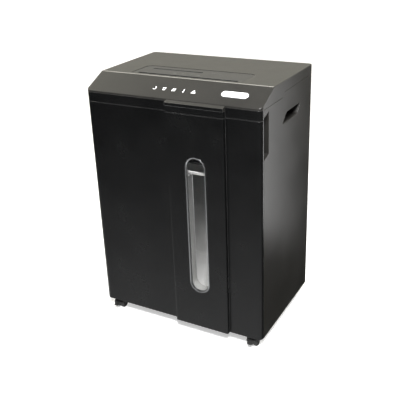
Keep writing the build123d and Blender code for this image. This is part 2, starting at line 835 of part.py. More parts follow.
def tie_rods():
    """Four spacer rods between the frame plates."""
    rods = []
    for y in (nip_y - frame_half + 8, nip_y + frame_half - 8):
        for z in (chassis_z + 10, nip_z + frame_rise - 7):
            rods.append(x_rod(tie_radius, -frame_x, frame_x, y, z))
    return Compound(children=rods)


def cutter_bushes():
    """Plain bearings of both shafts, pressed in the frame plates."""
    rings = []
    for side in (-1, 1):
        x0, x1 = sorted((side * frame_x, side * (frame_x + frame_plate)))
        for y in shaft_y.values():
            ring = x_rod(journal_radius + bush_wall, x0, x1, y, nip_z)
            rings.append(ring - x_rod(journal_radius + running, x0 - 1, x1 + 1, y, nip_z))
    return Compound(children=rings)


# ---------------------------------------------------------------- gears
def polar(radius, angle):
    """Point at an angle in radians."""
    return (radius * cos(angle), radius * sin(angle))


def gear_face(module, teeth, turn):
    """Involute spur gear outline with one tooth centred at a turn in radians."""
    pitch_r = module * teeth / 2
    base_r = pitch_r * cos(radians(pressure_angle))
    tip_r = pitch_r + 0.8 * module
    root_r = pitch_r - 1.05 * module
    start_r = max(base_r, root_r + 0.1)
    involute = tan(radians(pressure_angle)) - radians(pressure_angle)
    half_tooth = pi / (2 * teeth) - backlash / (2 * pitch_r) + involute
    flank = []
    for step in range(5):
        radius = start_r + (tip_r - start_r) * step / 4
        rolled = acos(min(1.0, base_r / radius))
        flank.append((radius, half_tooth - (tan(rolled) - rolled)))
    points = []
    for tooth in range(teeth):
        middle = turn + 2 * pi * tooth / teeth
        points.append(polar(root_r, middle - flank[0][1]))
        points += [polar(radius, middle - angle) for radius, angle in flank]
        points += [polar(radius, middle + angle) for radius, angle in reversed(flank)]
        points.append(polar(root_r, middle + flank[0][1]))
    return make_face(Polyline(*points, close=True))


def gear(module, teeth, turn, x, width, centre, bore):
    """Spur gear across the machine."""
    face = gear_face(module, teeth, turn) - Circle(bore)
    return extrude(across(x, *centre) * face, amount=width)


def stub_axis():
    """Axis of the intermediate gear."""
    angle = radians(stub_angle)
    return (shaft_y["rear"] + stub_reach * cos(angle), nip_z + stub_reach * sin(angle))


def motor_axis():
    """Axis of the motor."""
    y, z = stub_axis()
    angle = radians(motor_angle)
    return (y + motor_reach * cos(angle), z + motor_reach * sin(angle))


def sync_gear(name):
    """One of the two equal gears that keep the shafts together."""
    turn = 0.0 if name == "front" else pi + pi / sync_teeth
    x = -frame_x - frame_plate - 2 - gear_width
    return gear(gear_module, sync_teeth, turn, x, gear_width, (shaft_y[name], nip_z), journal_radius)


def drive_gear():
    """Large gear on the rear shaft."""
    x = frame_x + frame_plate + 2 + gear_width + 2
    centre = (shaft_y["rear"], nip_z)
    return gear(gear_module, drive_teeth, radians(stub_angle), x, gear_width, centre, journal_radius)


def intermediate_gear():
    """Cluster of a large and a small gear on the stub axle."""
    x = frame_x + frame_plate + 2
    bore = stub_radius + running
    wheel = gear(motor_module, wheel_teeth, radians(motor_angle), x, gear_width, stub_axis(), bore)
    turn = radians(stub_angle) + pi + pi / pinion_teeth
    small = gear(gear_module, pinion_teeth, turn, x + gear_width, gear_width + 2.5, stub_axis(), bore)
    return wheel + small


def motor_pinion():
    """Small gear on the motor's shaft."""
    x = frame_x + frame_plate + 2.5
    turn = radians(motor_angle) + pi + pi / motor_teeth
    return gear(motor_module, motor_teeth, turn, x, gear_width - 1, motor_axis(), motor_shaft_radius)


def motor():
    """Motor can with an end boss, bolted to the right frame plate."""
    y, z = motor_axis()
    far = frame_x - motor_length
    can = x_rod(motor_radius, far, frame_x, y, z)
    can = fillet(can.edges().filter_by(GeomType.CIRCLE), 3)
    can += x_rod(12, far - 5, far + 1, y, z)
    return can - x_rod(motor_shaft_radius + running, far - 6, frame_x + 1, y, z)


def motor_shaft():
    """Shaft through the motor, from the fan to the pinion."""
    y, z = motor_axis()
    far = frame_x - motor_length
    return x_rod(motor_shaft_radius, far - 9 - fan_width, frame_x + frame_plate + gear_width + 2, y, z)


def cooling_fan():
    """Bladed fan on the motor shaft's left end."""
    y, z = motor_axis()
    x = frame_x - motor_length - 7 - fan_width
    fan = x_rod(9, x, x + fan_width, y, z)
    for number in range(fan_blades):
        blade = Pos(fan_radius / 2 + 3, 0) * Rectangle(fan_radius - 6, 1.6)
        turned = Rot(0, 0, number * 360 / fan_blades) * blade
        fan += extrude(across(x, y, z) * turned, amount=fan_width)
    return fan - x_rod(motor_shaft_radius, x - 1, x + fan_width + 1, y, z)


# ---------------------------------------------------------------- throat, sensors, board, screws
def throat_top():
    """Underside of the feed panel."""
    return top_z - wall - feed_plate


def throat_guides():
    """Front plate, dividing wedge and rear plate of the two chutes."""
    high, low = throat_top(), nip_z + disc_radius + 2
    paper = front_y + paper_slot_place
    card = front_y + card_slot_place
    paper_half, card_half = paper_slot_gap / 2, card_slot_gap / 2
    x = frame_x - 3
    front = side_cut([(paper - paper_half - guide_plate, high), (paper - paper_half, high),
                      (nip_y - 5, low), (nip_y - 5 - guide_plate, low)], -x, x)
    rear = side_cut([(card + card_half, high), (card + card_half + guide_plate, high),
                     (nip_y + 5 + guide_plate, low), (nip_y + 5, low)], -x, x)
    wedge = side_cut([(paper + paper_half, high), (card - card_half, high),
                      (nip_y + 0.8, low + 6), (nip_y - 0.8, low + 6)], -x, x)
    y, z = sensor_pivot()
    half = sensor_width / 2 + 1
    wedge -= block(-half, half, paper - 4, y + 6.5, z - 27, z + 6.5)
    wedge -= x_rod(sensor_pin + running, -half - 2.5, half + 2.5, y, z)
    return Compound(children=[front, wedge, rear])


def sensor_pivot():
    """Axis of the paper sensor lever, inside the wedge."""
    return front_y + paper_slot_place + 14.0, throat_top() - 13.0


def paper_sensor_lever():
    """Sprung lever whose tip stands in the paper's way."""
    y, z = sensor_pivot()
    half = sensor_width / 2
    points = [(y + 2.5, z + 2.5), (y - 2.5, z + 2.5), (y - 8, z - 9), (y - 8, z - 12.5), (y + 2.5, z - 3)]
    return side_cut(points, -half, half) + x_rod(sensor_pin, -half - 3, half + 3, y, z)


def tub_back():
    """Rearmost face of the tub's rim."""
    return back_y - wall - tub_back_gap + 2


def plunger_lug():
    """Lug under the chassis that guides the interlock plunger."""
    z = tub_top_z - tub_rim / 2
    y = tub_back()
    lug = block(plunger_x - 6, plunger_x + 6, y + 4.5, y + 7, z - 5, chassis_z - 1)
    return lug - y_rod(plunger_radius + running, plunger_x, y + 4, y + 8, z)


def interlock_plunger():
    """Sprung pin that the closed bin pushes in."""
    z = tub_top_z - tub_rim / 2
    y = tub_back()
    pin = y_rod(plunger_radius, plunger_x, y + slip, y + 7.6, z)
    return pin + y_rod(plunger_radius + 1.5, plunger_x, y + slip + 0.4, y + slip + 1.8, z)


def board_corners():
    """Left, right, front and back edges of the circuit board."""
    left = -inner_x + 8
    return left, left + board_width, nip_y - 20, nip_y - 20 + board_length


def board_posts():
    """Posts that hold the circuit board off the chassis."""
    left, right, front, back = board_corners()
    posts = [z_rod(3, x, y, chassis_z - 1, chassis_z + board_lift)
             for x in (left + 5, right - 5) for y in (front + 5, back - 5)]
    return posts[0] + posts[1] + posts[2] + posts[3]


def circuit_board():
    """Control board with its transformer, relays and capacitor."""
    left, right, front, back = board_corners()
    low = chassis_z + board_lift
    high = low + 1.6
    board = block(left, right, front, back, low, high)
    transformer = block(left + 4, right - 8, back - 45, back - 15, high, high + 24)
    relay = block(left + 4, left + 20, front + 20, front + 40, high, high + 15)
    relay_two = Pos(0, 24, 0) * relay
    capacitor = z_rod(7, right - 10, front + 25, high, high + 22)
    return Compound(children=[board, transformer, relay, relay_two, capacitor])


def screw_places():
    """Back panel screws: X and Z of each."""
    levels = (floor_z + 18, floor_z + body_height * 0.5, band_z - 14)
    return [(side * (inner_x - rear_return - 6), z) for side in (-1, 1) for z in levels]


def screw_holes(solid):
    """Cut the shank holes of the back panel screws."""
    for x, z in screw_places():
        solid -= y_rod(screw_shank, x, back_y - 3 * wall, back_y + 1, z)
    return solid


def housing_screws():
    """Cross-head screws that hold the back panel."""
    screws = []
    for x, z in screw_places():
        head = y_rod(screw_radius, x, back_y, back_y + 1.8, z)
        head = fillet(head.faces().sort_by(Axis.Y)[-1].edges(), 0.8)
        for long, tall in ((4.0, 0.9), (0.9, 4.0)):
            head -= block(x - long / 2, x + long / 2, back_y + 0.9, back_y + 2, z - tall / 2, z + tall / 2)
        screws.append(head + y_rod(screw_shank, x, back_y - 2.8 * wall, back_y + 0.5, z))
    return Compound(children=screws)


# ---------------------------------------------------------------- the whole machine
def all_parts():
    """Every sub-part by name."""
    parts = {
        "top_cover": top_cover(),
        "feed_panel": feed_panel(),
        "head_skirt": head_skirt(),
        "left_side_panel": side_panel(-1),
        "right_side_panel": side_panel(1),
        "rear_panel": screw_holes(rear_panel()),
        "base_tray": screw_holes(base_tray()),
        "left_grip_cup": grip_cup(-1),
        "right_grip_cup": grip_cup(1),
        "head_chassis": head_chassis() + plunger_lug() + board_posts(),
        "bin_front_panel": bin_front(),
        "window_bezel": window_bezel(),
        "window_lens": window_lens(),
        "bin_tub": bin_tub(),
        "left_bin_rail": bin_rail(-1),
        "right_bin_rail": bin_rail(1),
        "power_key_bezel": key_bezel(),
        "power_key": power_key(),
        "power_inlet": power_inlet(),
        "rocker_housing": rocker_housing(),
        "rocker_switch": rocker_switch(),
        "caster_sockets": caster_sockets(),
        "left_frame_plate": frame_plate_solid(-1),
        "right_frame_plate": frame_plate_solid(1),
        "tie_rods": tie_rods(),
        "cutter_bushes": cutter_bushes(),
        "drive_gear": drive_gear(),
        "intermediate_gear": intermediate_gear(),
        "motor_pinion": motor_pinion(),
        "motor": motor(),
        "motor_shaft": motor_shaft(),
        "cooling_fan": cooling_fan(),
        "throat_guides": throat_guides(),
        "paper_sensor_lever": paper_sensor_lever(),
        "interlock_plunger": interlock_plunger(),
        "circuit_board": circuit_board(),
        "housing_screws": housing_screws(),
    }
    for number in range(icon_count):
        parts[f"indicator_lens_{number + 1}"] = indicator_lens(number)
    for name in ("front", "rear"):
        parts[f"{name}_cutter_shaft"] = cutter_shaft(name)
        parts[f"{name}_cutter_discs"] = cutter_discs(name)
        parts[f"{name}_stripper_comb"] = stripper_comb(name)
        parts[f"{name}_shaft_gear"] = sync_gear(name)
    corners = ("front_left", "front_right", "rear_left", "rear_right")
    for name, (x, y, braked) in zip(corners, caster_places()):
        parts[f"{name}_caster_fork"] = caster_fork(x, y, braked)
        parts[f"{name}_caster_wheels"] = caster_wheels(x, y)
        if braked:
            parts[f"{name}_brake_pedal"] = brake_pedal(x, y)
    return parts


os.makedirs("parts", exist_ok=True)
for part_name, solid in all_parts().items():
    export_step(solid, f"parts/{part_name}.step")
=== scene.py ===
import json
import math

import bmesh
import bpy
from mathutils import Matrix, Vector


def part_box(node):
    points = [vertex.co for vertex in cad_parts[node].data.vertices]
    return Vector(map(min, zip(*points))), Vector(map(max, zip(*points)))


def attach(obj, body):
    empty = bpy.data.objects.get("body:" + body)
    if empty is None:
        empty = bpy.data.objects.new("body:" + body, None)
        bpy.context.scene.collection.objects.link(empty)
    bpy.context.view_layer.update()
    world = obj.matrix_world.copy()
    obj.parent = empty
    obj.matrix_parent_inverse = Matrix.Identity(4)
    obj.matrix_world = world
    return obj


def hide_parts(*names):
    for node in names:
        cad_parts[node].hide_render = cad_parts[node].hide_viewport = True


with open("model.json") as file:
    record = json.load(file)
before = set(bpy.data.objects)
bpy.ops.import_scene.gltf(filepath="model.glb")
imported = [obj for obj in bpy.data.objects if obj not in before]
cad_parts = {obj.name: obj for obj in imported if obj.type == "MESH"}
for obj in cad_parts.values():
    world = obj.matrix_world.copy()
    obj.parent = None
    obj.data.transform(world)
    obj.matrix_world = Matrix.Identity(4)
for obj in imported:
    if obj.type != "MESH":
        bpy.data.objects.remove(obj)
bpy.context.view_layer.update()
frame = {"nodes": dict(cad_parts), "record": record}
nodes = frame["nodes"]


# ---------------------------------------------------------------- camera
# A normal lens held a little above the lid, off the right front corner.
camera_data = bpy.data.cameras.new("camera")
camera_data.sensor_width = 36.0
camera_data.lens = 58.35
camera_data.shift_x = 0.0012
camera_data.shift_y = -0.05
camera = bpy.data.objects.new("camera", camera_data)
camera_tilt, camera_roll, camera_heading = 67.51, 2.11, 28.71
camera.location = (0.6442, -1.1507, 0.8528)
camera.rotation_euler = [math.radians(turn) for turn in (camera_tilt, camera_roll, camera_heading)]
bpy.context.scene.collection.objects.link(camera)
bpy.context.scene.camera = camera


# ---------------------------------------------------------------- floor and light
# A pale seamless floor under a wide, weak overhead light. A small strong light hangs off the
# right front corner, a narrow card stands close to the right side, and the room is white.
floor_mesh = bpy.data.meshes.new("floor")
floor_reach = 12
bm = bmesh.new()
bmesh.ops.create_grid(bm, x_segments=1, y_segments=1, size=floor_reach)
bm.to_mesh(floor_mesh)
bm.free()
floor = bpy.data.objects.new("floor", floor_mesh)
bpy.context.scene.collection.objects.link(floor)
floor.visible_glossy = False
pale_floor = bpy.data.materials.new("pale_floor")
pale_floor.use_nodes = True
floor_shader = pale_floor.node_tree.nodes["Principled BSDF"]
floor_shader.inputs["Base Color"].default_value = (0.90, 0.90, 0.90, 1)
floor_shader.inputs["Roughness"].default_value = 0.6
floor_shader.inputs["Emission Color"].default_value = (1, 1, 1, 1)
floor_shader.inputs["Emission Strength"].default_value = 0.5
floor_mesh.materials.append(pale_floor)


def soft_light(name, place, aim, size, power):
    """Rectangular light hung at a place and turned towards its aim."""
    data = bpy.data.lights.new(name, "AREA")
    data.shape = "RECTANGLE"
    data.size, data.size_y = size
    data.energy = power
    light = bpy.data.objects.new(name, data)
    light.location = place
    light.rotation_euler = (Vector(aim) - Vector(place)).to_track_quat("-Z", "Y").to_euler()
    light.visible_camera = False
    bpy.context.scene.collection.objects.link(light)


soft_light("overhead", (0.0, 0.8, 2.3), (0, 0, 0.4), (2.4, 1.4), 2.5)
soft_light("window_key", (0.66, -1.10, 1.65), (0.05, 0, 0.25), (0.35, 0.6), 92)
soft_light("side_card", (0.46, 0.27, 0.30), (0.2, -0.12, 0.32), (0.16, 0.5), 0.85)

# The room's brightness from straight down (0) to straight up (1), in front and behind.
front_levels = ((0.0, 0.7), (0.18, 0.9), (0.28, 0.27), (0.34, 0.01), (0.52, 0.01), (0.70, 0.05),
                (1.0, 0.3))
back_levels = ((0.0, 0.01), (0.24, 0.006), (0.36, 0.03), (0.46, 0.4), (0.66, 0.75), (0.74, 0.6),
               (0.79, 5.2), (0.83, 0.4), (1.0, 0.05))
world = bpy.data.worlds.new("studio")
world.use_nodes = True
sky = world.node_tree
heading = sky.nodes.new("ShaderNodeSeparateXYZ")
sky.links.new(sky.nodes.new("ShaderNodeTexCoord").outputs["Generated"], heading.inputs[0])
span = sky.nodes.new("ShaderNodeMapRange")
span.inputs["From Min"].default_value = -1.0
sky.links.new(heading.outputs["Z"], span.inputs["Value"])
halves = []
for tint, stops in (((1, 1, 1), front_levels), ((1, 0.97, 0.84), back_levels)):
    shade = sky.nodes.new("ShaderNodeValToRGB")
    for number, (place, level) in enumerate(stops):
        if number < 2:
            stop = shade.color_ramp.elements[number]
            stop.position = place
        else:
            stop = shade.color_ramp.elements.new(place)
        stop.color = (*(level * part for part in tint), 1)
    sky.links.new(span.outputs[0], shade.inputs["Fac"])
    halves.append(shade)
depth = sky.nodes.new("ShaderNodeMapRange")
depth.inputs["From Min"].default_value = -0.15
depth.inputs["From Max"].default_value = 0.25
sky.links.new(heading.outputs["Y"], depth.inputs["Value"])
room = sky.nodes.new("ShaderNodeMix")
room.data_type = "RGBA"
sky.links.new(depth.outputs[0], room.inputs[0])
sky.links.new(halves[0].outputs["Color"], room.inputs[6])
sky.links.new(halves[1].outputs["Color"], room.inputs[7])
# The left flank of the room is brighter, and the room itself shows plain white.
seen = sky.nodes.new("ShaderNodeMix")
seen.data_type = "RGBA"
seen.inputs[7].default_value = (1, 1, 1, 1)
sky.links.new(sky.nodes.new("ShaderNodeLightPath").outputs["Is Camera Ray"], seen.inputs[0])
flank = sky.nodes.new("ShaderNodeMapRange")
for label, value in (("From Min", -0.95), ("From Max", -0.6), ("To Min", 3.0), ("To Max", 1.0)):
    flank.inputs[label].default_value = value
sky.links.new(heading.outputs["X"], flank.inputs["Value"])
lifted = sky.nodes.new("ShaderNodeVectorMath")
lifted.operation = "SCALE"
sky.links.new(room.outputs[2], lifted.inputs[0])
sky.links.new(flank.outputs[0], lifted.inputs["Scale"])
sky.links.new(lifted.outputs[0], seen.inputs[6])
sky.links.new(seen.outputs[2], sky.nodes["Background"].inputs["Color"])
sky.nodes["Background"].inputs["Strength"].default_value = 1.0
bpy.context.scene.world = world
bpy.context.scene.view_settings.view_transform = "Standard"


# ---------------------------------------------------------------- moulded shells
# Lid, sides, front and back are injection mouldings in black plastic. The tool was
# spark eroded, so the skin has a fine even grain that goes shiny where hands rub it.
def new_group(name, inputs, outputs):
    """Empty shader group with number inputs and the named outputs."""
    group = bpy.data.node_groups.new(name, "ShaderNodeTree")
    for label, value in inputs.items():
        socket = group.interface.new_socket(label, in_out="INPUT", socket_type="NodeSocketFloat")
        socket.default_value = value
    for label in outputs:
        group.interface.new_socket(label, in_out="OUTPUT", socket_type="NodeSocketFloat")
    return group, group.nodes.new("NodeGroupInput"), group.nodes.new("NodeGroupOutput")


def add_node(tree, kind, feeds=None, **settings):
    """Node with its settings, and with a value or an incoming link for each named input."""
    node = tree.nodes.new(kind)
    for key, value in settings.items():
        setattr(node, key, value)
    for key, source in (feeds or {}).items():
        if isinstance(source, bpy.types.NodeSocket):
            tree.links.new(source, node.inputs[key])
        else:
            node.inputs[key].default_value = source
    return node


def math_node(tree, operation, first, second):
    """Result of one sum on two values."""
    node = add_node(tree, "ShaderNodeMath", {0: first, 1: second}, operation=operation)
    return node.outputs[0]


def between(tree, value, first, last, low=0.0, high=1.0):
    """Value that runs from low to high as its source runs from first to last."""
    feeds = {"Value": value, "From Min": first, "From Max": last, "To Min": low, "To Max": high}
    return add_node(tree, "ShaderNodeMapRange", feeds).outputs[0]


def make_grain():
    """Spark-eroded skin: fine grain, slow mottling, an edge mask and dust that settles."""
    inputs = {"Grain Size": 900.0, "Mottle Size": 14.0, "Edge": 0.0012}
    group, given, out = new_group("moulded_grain", inputs, ("Height", "Mottle", "Edge Mask", "Dust"))
    place = group.nodes.new("ShaderNodeTexCoord").outputs["Object"]
    grain_size, mottle_size = given.outputs["Grain Size"], given.outputs["Mottle Size"]
    fine = add_node(group, "ShaderNodeTexNoise",
                    {"Vector": place, "Scale": grain_size, "Detail": 2.0, "Roughness": 0.6})
    pits = add_node(group, "ShaderNodeTexVoronoi", {"Vector": place, "Scale": grain_size},
                    feature="SMOOTH_F1")
    slow = add_node(group, "ShaderNodeTexNoise",
                    {"Vector": place, "Scale": mottle_size, "Detail": 5.0, "Roughness": 0.55})
    rounded = add_node(group, "ShaderNodeBevel", {"Radius": given.outputs["Edge"]}, samples=4)
    flat = group.nodes.new("ShaderNodeNewGeometry")
    facing = add_node(group, "ShaderNodeVectorMath",
                      {0: rounded.outputs[0], 1: flat.outputs["Normal"]}, operation="DOT_PRODUCT")
    turn = math_node(group, "SUBTRACT", 1.0, facing.outputs["Value"])
    up = add_node(group, "ShaderNodeSeparateXYZ", {0: flat.outputs["Normal"]})
    level = between(group, up.outputs["Z"], 0.6, 1.0)
    specks = add_node(group, "ShaderNodeTexNoise", {"Vector": place, "Scale": 420.0, "Detail": 3.0})
    sparse = between(group, specks.outputs["Fac"], 0.60, 0.75)
    effects = {
        "Height": math_node(group, "ADD", fine.outputs["Fac"], pits.outputs["Distance"]),
        "Mottle": slow.outputs["Fac"],
        "Edge Mask": math_node(group, "MULTIPLY", between(group, turn, 0.01, 0.16), slow.outputs["Fac"]),
        "Dust": math_node(group, "MULTIPLY", level, sparse),
    }
    for label, socket in effects.items():
        group.links.new(socket, out.inputs[label])
    return group


grain_group = make_grain()


def blend_colour(tree, factor, first, second):
    """Colour between two colours, by a factor."""
    node = add_node(tree, "ShaderNodeMix", data_type="RGBA")
    for index, value in ((0, factor), (6, first), (7, second)):
        if isinstance(value, bpy.types.NodeSocket):
            tree.links.new(value, node.inputs[index])
        else:
            node.inputs[index].default_value = value if index == 0 else (*value, 1)
    return node.outputs[2]


def new_finish(name, grain_size):
    """Material with the grain group placed in it: itself, its tree, its shader and the group."""
    material = bpy.data.materials.new(name)
    material.use_nodes = True
    tree = material.node_tree
    skin = add_node(tree, "ShaderNodeGroup", {"Grain Size": grain_size}, node_tree=grain_group)
    return material, tree, tree.nodes["Principled BSDF"], skin


def set_relief(tree, shader, skin, strength, depth):
    """Grain raised on the surface."""
    relief = add_node(tree, "ShaderNodeBump",
                      {"Height": skin.outputs["Height"], "Strength": strength, "Distance": depth})
    tree.links.new(relief.outputs[0], shader.inputs["Normal"])


def moulded(name, dark, light, edge_tone, rough, grain_size=900.0, bump=0.12, dust=0.25):
    """Textured plastic: drifting tones, light dust and a lighter edge tone (rubbed wear, and on the
    front a painted highlight).
    """
    dust_grey, rub_gloss, grain_depth = (0.35, 0.34, 0.32), 0.15, 0.0003
    material, tree, shader, skin = new_finish(name, grain_size)
    mottle, edge_mask = skin.outputs["Mottle"], skin.outputs["Edge Mask"]
    colour = blend_colour(tree, between(tree, mottle, 0.35, 0.65), dark, light)
    colour = blend_colour(tree, edge_mask, colour, edge_tone)
    speck = math_node(tree, "MULTIPLY", skin.outputs["Dust"], dust)
    tree.links.new(blend_colour(tree, speck, colour, dust_grey), shader.inputs["Base Color"])
    gloss = between(tree, mottle, 0.3, 0.7, *rough)
    rubbed = math_node(tree, "MULTIPLY", edge_mask, rub_gloss)
    tree.links.new(math_node(tree, "SUBTRACT", gloss, rubbed), shader.inputs["Roughness"])
    set_relief(tree, shader, skin, bump, grain_depth)
    return material


def softened(node, name, body, width, material):
    """Copy of a plain shell with its sharp edges rounded, which takes the shell's place."""
    mesh = bpy.data.meshes.new(name)
    bm = bmesh.new()
    bm.from_mesh(nodes[node].data)
    weld, level, corner = 0.00001, math.radians(1.0), math.radians(28)
    bmesh.ops.remove_doubles(bm, verts=bm.verts, dist=weld)
    bmesh.ops.dissolve_limit(bm, angle_limit=level, verts=bm.verts, edges=bm.edges)
    sharp = [edge for edge in bm.edges if edge.is_manifold and edge.calc_face_angle() > corner]
    bmesh.ops.bevel(bm, geom=sharp, offset=width, offset_type="OFFSET", affect="EDGES", segments=2,
                    profile=0.5, material=-1, clamp_overlap=True)
    bmesh.ops.triangulate(bm, faces=[face for face in bm.faces if len(face.verts) > 4])
    bm.to_mesh(mesh)
    bm.free()
    mesh.shade_smooth()
    mesh.set_sharp_from_angle(angle=math.radians(50))
    piece = bpy.data.objects.new(name, mesh)
    bpy.context.scene.collection.objects.link(piece)
    weights = piece.modifiers.new("weights", "WEIGHTED_NORMAL")
    weights.keep_sharp = True
    mesh.materials.clear()
    mesh.materials.append(material)
    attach(piece, body)
    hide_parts(node)
    return piece


shell_black = moulded("satin_shell", (0.0095, 0.0091, 0.0083), (0.0125, 0.0119, 0.0108),
                      (0.05, 0.047, 0.042), (0.335, 0.385), dust=0.07)
# The front is its own black, set several times darker than the shell's, which also paints the shade
# on the forward faces; its pale edge tone paints highlights along the front's edges and seams.
front_black = moulded("satin_front", (0.0014, 0.0015, 0.0016), (0.0024, 0.0025, 0.0026),
                      (0.09, 0.09, 0.09), (0.24, 0.28), bump=0.04)
softened("left_side_panel", "left_side", "cabinet", 0.0005, shell_black)
softened("right_side_panel", "right_side", "cabinet", 0.0005, shell_black)
softened("rear_panel", "back", "cabinet", 0.0003, shell_black)
lid = softened("top_cover", "lid", "cabinet", 0.0008, shell_black)
softened("bin_front_panel", "bin_front", "bin", 0.0006, front_black)
softened("head_skirt", "skirt", "cabinet", 0.0005, front_black)


# ---------------------------------------------------------------- lid crest and nose
# The crest between the flat lid and the sloping panel is drawn with a full, soft radius, and its
# faces take a light grey that paints the highlight along the crest. The face of the nose over the
# centre strip is finished like the front below it, a darker finish that paints the shade on these
# forward faces.
strip_proud, panel_run, panel_drop = 0.009, 0.059, 0.0274
front_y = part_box("bin_front_panel")[0].y + strip_proud
lid_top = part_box("top_cover")[1].z
slope = math.atan2(panel_drop, panel_run)
crest_y = front_y + panel_run
tight, full, slack = 0.0016, 0.0060, 0.00003
near = Vector((0, crest_y + tight * math.tan(slope / 2), lid_top - tight))
wide = Vector((0, crest_y + full * math.tan(slope / 2), lid_top - full))
for vertex in lid.data.vertices:
    arm = vertex.co - near
    turn = math.atan2(-arm.y, arm.z)
    if abs(math.hypot(arm.y, arm.z) - tight) < slack and -0.01 < turn < slope + 0.01:
        vertex.co.y = wide.y - full * math.sin(turn)
        vertex.co.z = wide.z + full * math.cos(turn)
# Painted highlight: a light grey on the crest faces stands for the light caught along the rounded
# crest.
crest_highlight_grey = moulded("crest_painted_highlight", (0.14, 0.135, 0.125), (0.19, 0.183, 0.17),
                     (0.24, 0.23, 0.215), (0.20, 0.30), bump=0.04, dust=0.0)
lid.data.materials.append(front_black)
lid.data.materials.append(crest_highlight_grey)
nose_start = front_y - 0.0004
for face in lid.data.polygons:
    lean = math.atan2(-face.normal.y, face.normal.z)
    on_crest = abs(face.center.y - crest_y) < full and abs(face.normal.x) < 0.2
    # Painted shade: the nose's forward-facing faces take the darker front finish.
    if face.center.y < nose_start and face.normal.y < -0.9:
        face.material_index = 1
    elif on_crest and 0.02 < lean < slope - 0.02:
        face.material_index = 2


# ---------------------------------------------------------------- feed insert and grip cups
# The insert round the slots is a separate moulding in a duller black, and the hand-grip cups are
# separate mouldings in the shell's black, all clipped up from inside.
def finish(node, material):
    """Give a carried-over piece its finish."""
    nodes[node].data.materials.clear()
    nodes[node].data.materials.append(material)


trim_black = moulded("dull_trim", (0.012, 0.012, 0.012), (0.018, 0.018, 0.018),
                     (0.06, 0.06, 0.06), (0.40, 0.52), grain_size=1300.0)
softened("feed_panel", "feed_insert", "cabinet", 0.0004, trim_black)
for side in ("left", "right"):
    softened(f"{side}_grip_cup", f"{side}_grip", "cabinet", 0.0004, shell_black)
for node in ("throat_guides", "rocker_housing", "power_key_bezel"):
    finish(node, trim_black)


# ---------------------------------------------------------------- control panel marks
# Five small pictograms are pad printed in white over smoked light windows. All are plain
# signs: turn back, bin, sheets, heat and care.
panel_foot = Vector((0, front_y, lid_top - panel_drop))
to_panel = Matrix.Translation(panel_foot) @ Matrix.Rotation(slope, 4, "X")


def drifting(name, dark, light, rough, grain_size, bump):
    """Smooth finish whose tone and gloss drift together: its material, shader and group."""
    rub_depth = 0.0002
    material, tree, shader, skin = new_finish(name, grain_size)
    mottle = skin.outputs["Mottle"]
    tree.links.new(blend_colour(tree, mottle, dark, light), shader.inputs["Base Color"])
    tree.links.new(between(tree, mottle, 0.0, 1.0, *rough), shader.inputs["Roughness"])
    set_relief(tree, shader, skin, bump, rub_depth)
    return material, shader, skin


def glossy(name, dark, light, rough, coat=0.0):
    """Smooth plastic or enamel with a faint drift in tone and gloss."""
    material, shader, skin = drifting(name, dark, light, rough, 2500.0, 0.03)
    skin.inputs["Mottle Size"].default_value = 30.0
    shader.inputs["Coat Weight"].default_value = coat
    return material


def new_piece(bm, name, body, material, smooth=40.0):
    """Finished mesh object riding on a body."""
    weld = 0.000002
    bmesh.ops.remove_doubles(bm, verts=bm.verts, dist=weld)
    bmesh.ops.recalc_face_normals(bm, faces=bm.faces)
    mesh = bpy.data.meshes.new(name)
    bm.to_mesh(mesh)
    bm.free()
    mesh.shade_smooth()
    mesh.set_sharp_from_angle(angle=math.radians(smooth))
    mesh.materials.append(material)
    piece = bpy.data.objects.new(name, mesh)
    bpy.context.scene.collection.objects.link(piece)
    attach(piece, body)
    return piece


ink_height = 0.00012


def ink_bar(bm, start, end, thick):
    """Straight printed stroke."""
    start, end = Vector((*start, 0)), Vector((*end, 0))
    run = end - start
    place = Matrix.Translation((start + end) / 2)
    turn = Matrix.Rotation(math.atan2(run.y, run.x), 4, "Z")
    stretch = Matrix.Diagonal((run.length, thick, ink_height, 1))
    bmesh.ops.create_cube(bm, size=1, matrix=place @ turn @ stretch)


def ink_dot(bm, centre, radius):
    """Round printed dot."""
    bmesh.ops.create_cone(bm, cap_ends=True, segments=20, radius1=radius, radius2=radius,
                          depth=ink_height, matrix=Matrix.Translation((*centre, 0)))


def ink_arc(bm, centre, radius, first, last, thick):
    """Curved stroke made of short overlapping bars."""
    steps, overlap = 10, 0.08
    for step in range(steps):
        points = []
        for more in (-overlap, 1 + overlap):
            angle = first + (last - first) * (step + more) / steps
            across, up = radius * math.cos(angle), radius * math.sin(angle)
            points.append((centre[0] + across, centre[1] + up))
        ink_bar(bm, *points, thick)


def draw_turn_back(bm, size):
    ink_arc(bm, (0, 0), size * 0.34, math.radians(-150), math.radians(60), size * 0.15)
    ink_bar(bm, (size * 0.02, size * 0.34), (size * 0.34, size * 0.44), size * 0.15)


def draw_bin(bm, size):
    ink_bar(bm, (-size * 0.42, size * 0.36), (size * 0.42, size * 0.36), size * 0.15)
    ink_bar(bm, (-size * 0.26, size * 0.26), (-size * 0.18, -size * 0.42), size * 0.13)
    ink_bar(bm, (size * 0.26, size * 0.26), (size * 0.18, -size * 0.42), size * 0.13)
    ink_bar(bm, (-size * 0.2, -size * 0.38), (size * 0.2, -size * 0.38), size * 0.13)


def draw_sheets(bm, size):
    for shift in (-0.22, 0.22):
        foot, head = (size * (shift - 0.08), -size * 0.42), (size * (shift + 0.08), size * 0.42)
        ink_bar(bm, foot, head, size * 0.26)


def draw_heat(bm, size):
    ink_bar(bm, (0, -size * 0.2), (0, size * 0.46), size * 0.17)
    ink_dot(bm, (0, -size * 0.28), size * 0.19)


